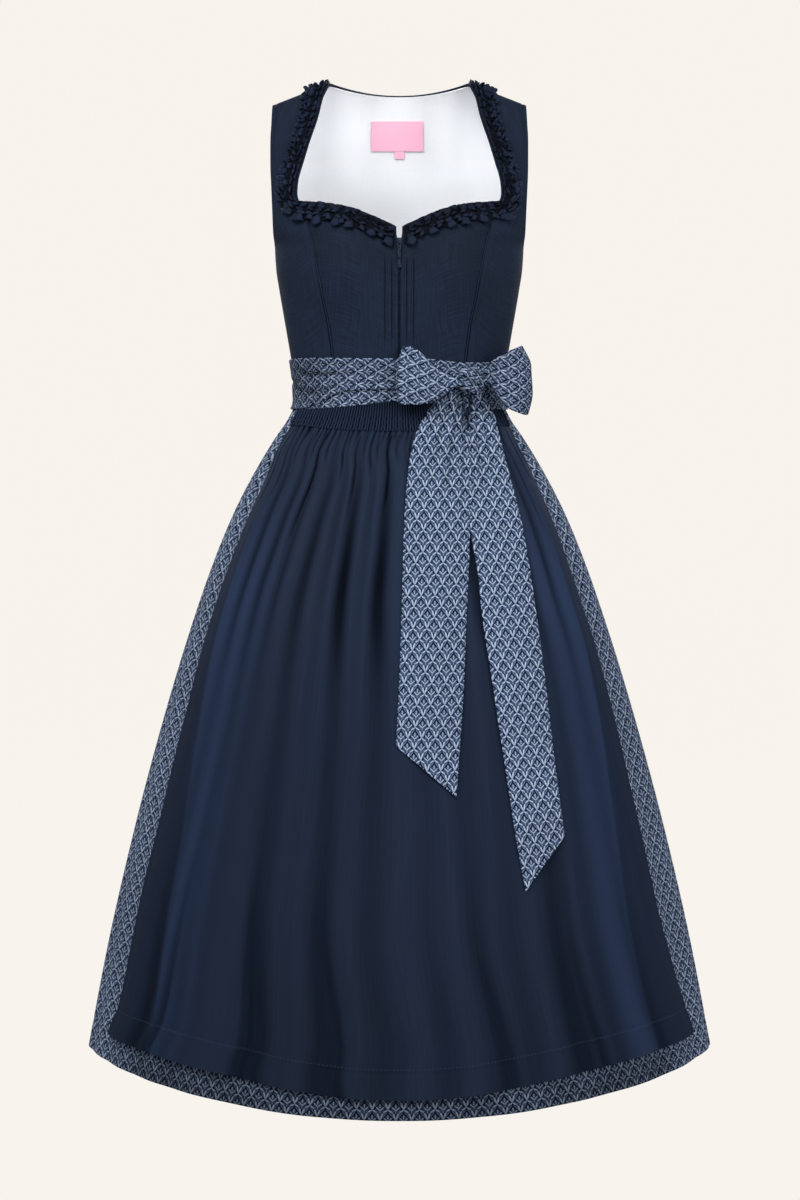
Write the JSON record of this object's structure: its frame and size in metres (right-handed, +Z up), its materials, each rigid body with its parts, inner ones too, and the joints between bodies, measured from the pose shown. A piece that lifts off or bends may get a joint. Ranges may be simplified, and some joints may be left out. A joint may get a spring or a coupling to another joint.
{
  "type": "dirndl dress with apron",
  "caption": "Sleeveless dirndl dress with a wide ruffle-trimmed neckline, zipped bodice, full gathered midi skirt and an apron tied in a bow at the front.",
  "frame": {"origin": "midway between the two shoulder tops at the neck, where the wearer's shoulders hold the dress up", "axes": "+Z up along the dress's length, the front faces -Y, +X is the viewer's right"},
  "size_m": [0.7108, 0.5704, 1.0984],
  "materials": {
    "navy_cotton": "matte",
    "white_lining": "matte",
    "printed_cotton": "matte",
    "navy_satin": "satin",
    "navy_trim": "matte",
    "zip_metal": "satin",
    "pink_label": "matte"
  },
  "bodies": {
    "dress": {"bodice_front_left": "navy_cotton", "bodice_front_right": "navy_cotton", "bodice_side_left": "navy_cotton", "bodice_side_right": "navy_cotton", "bodice_back": "navy_cotton", "lining_back": "white_lining", "neck_trim_left": "navy_trim", "neck_trim_right": "navy_trim", "zip_tape": "navy_cotton", "zip_slider": "zip_metal", "skirt_front": "printed_cotton", "skirt_back": "printed_cotton", "apron": "navy_satin", "apron_gathers": "navy_satin", "belt_under": "printed_cotton", "belt_over": "printed_cotton", "bow_knot": "printed_cotton", "bow_loop_left": "printed_cotton", "bow_loop_right": "printed_cotton", "bow_tail_left": "printed_cotton", "bow_tail_right": "printed_cotton", "neck_label": "pink_label", "size_tab": "pink_label"},
    "zip_pull": {"zip_pull": "zip_metal"}
  },
  "joints": [
    {"name": "zip_pull_swing", "type": "hinge", "parent": "dress", "child": "zip_pull", "pos_m": [0, -0.1246, -0.1795], "axis": [-1, 0, 0], "range_deg": [0, 140]}
  ]
}
